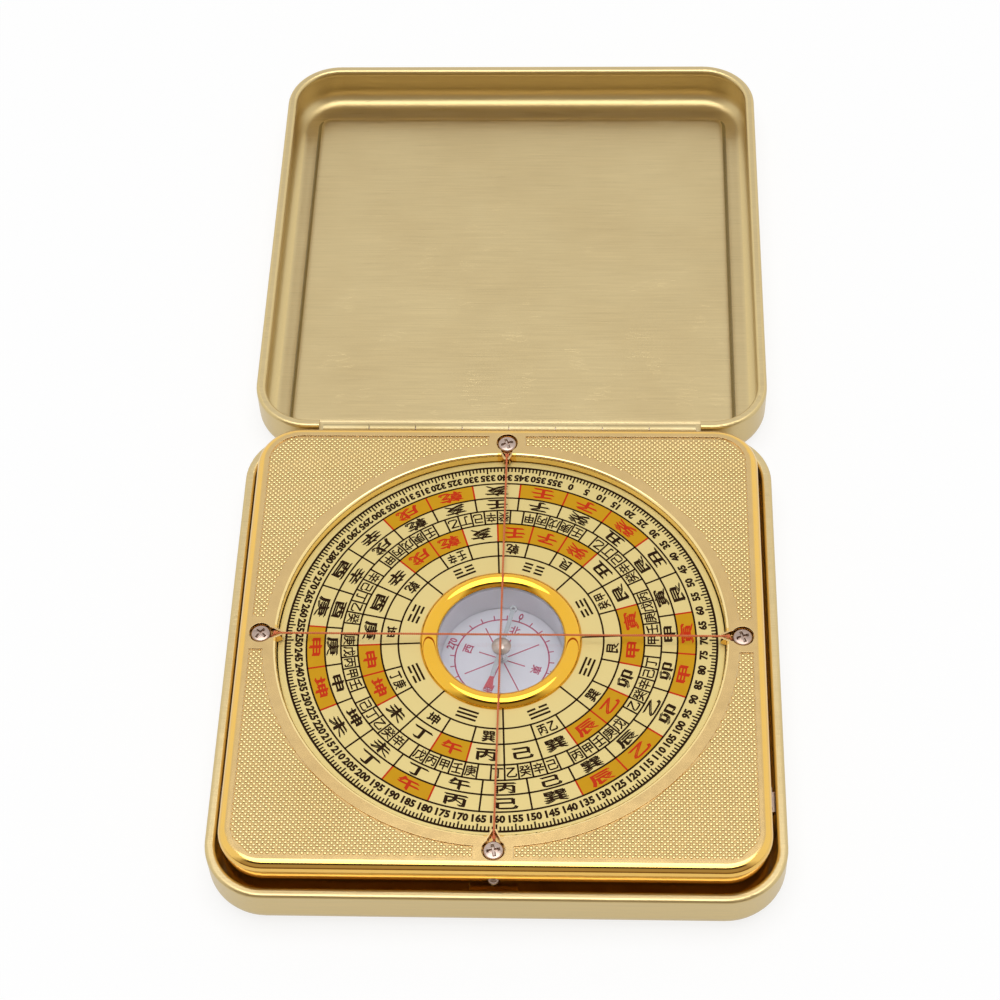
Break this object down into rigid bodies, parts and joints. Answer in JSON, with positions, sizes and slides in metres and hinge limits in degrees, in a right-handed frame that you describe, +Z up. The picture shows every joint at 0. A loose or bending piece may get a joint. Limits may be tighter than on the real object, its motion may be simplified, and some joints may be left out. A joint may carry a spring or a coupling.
{
  "type": "feng shui compass",
  "caption": "Flat hinged metal case with a raised square instrument: a turning printed ring dial around a glazed needle capsule, read under two crossed threads.",
  "frame": {"origin": "on the dial's axis, on the flat panel under the tray that the case stands on", "axes": "+X along the hinge, +Y from the instrument towards the open lid, +Z up along the dial's axis"},
  "size_m": [0.092, 0.1845, 0.0144],
  "materials": {
    "case_brass": "satin, fine horizontal grain, pale gold lacquer",
    "hinge_brass": "rolled strip, bright",
    "bright_steel": "bright nickel plated",
    "plated_gold": "gold electroplated, mirror bright sides, satin top with knurled fields",
    "moulded_black": "fine moulded texture",
    "felt": "pressed wool felt",
    "red_thread": "twisted thread, pulled tight",
    "dial_print": "pale gold sheet with black, red and orange print",
    "white_plastic": "smooth moulding",
    "white_card": "white sheet with red print",
    "gasket_rubber": "matt",
    "lens_glass": "clear, flat, polished",
    "bezel_gold": "turned and gold plated, mirror bright",
    "needle_steel": "plain strip with a red painted, notched end",
    "jewel": "polished synthetic stone"
  },
  "bodies": {
    "case_and_housing": {"tray_shell": "case_brass", "hinge_leaf_tray": "hinge_brass", "hinge_pin": "bright_steel", "housing_frame": "plated_gold", "housing_base": "moulded_black", "side_clips": "bright_steel", "catch_nub": "bright_steel", "glide_ring": "felt", "thread_screws": "bright_steel", "crosshair_ns": "red_thread", "crosshair_ew": "red_thread"},
    "lid": {"lid_shell": "case_brass", "hinge_leaf_lid": "hinge_brass"},
    "dial": {"dial_plate": "dial_print", "dial_carrier": "moulded_black", "carrier_clip": "bright_steel", "capsule_cup": "white_plastic", "compass_card": "white_card", "lens_gasket": "gasket_rubber", "lens": "lens_glass", "bezel_ring": "bezel_gold", "pivot_pin": "bezel_gold"},
    "needle": {"needle_blade": "needle_steel", "needle_cap": "bezel_gold", "needle_jewel": "jewel"}
  },
  "joints": [
    {"name": "lid_hinge", "type": "hinge", "parent": "case_and_housing", "child": "lid", "pos_m": [0, 0.04645, 0.0093], "axis": [1, 0, 0], "range_deg": [0, 180]},
    {"name": "dial_turn", "type": "hinge", "parent": "case_and_housing", "child": "dial", "pos_m": [0, 0, 0.0109], "axis": [0, 0, 1], "continuous": true},
    {"name": "needle_swing", "type": "hinge", "parent": "dial", "child": "needle", "pos_m": [0, 0, 0.0102], "axis": [0, 0, 1], "continuous": true}
  ]
}
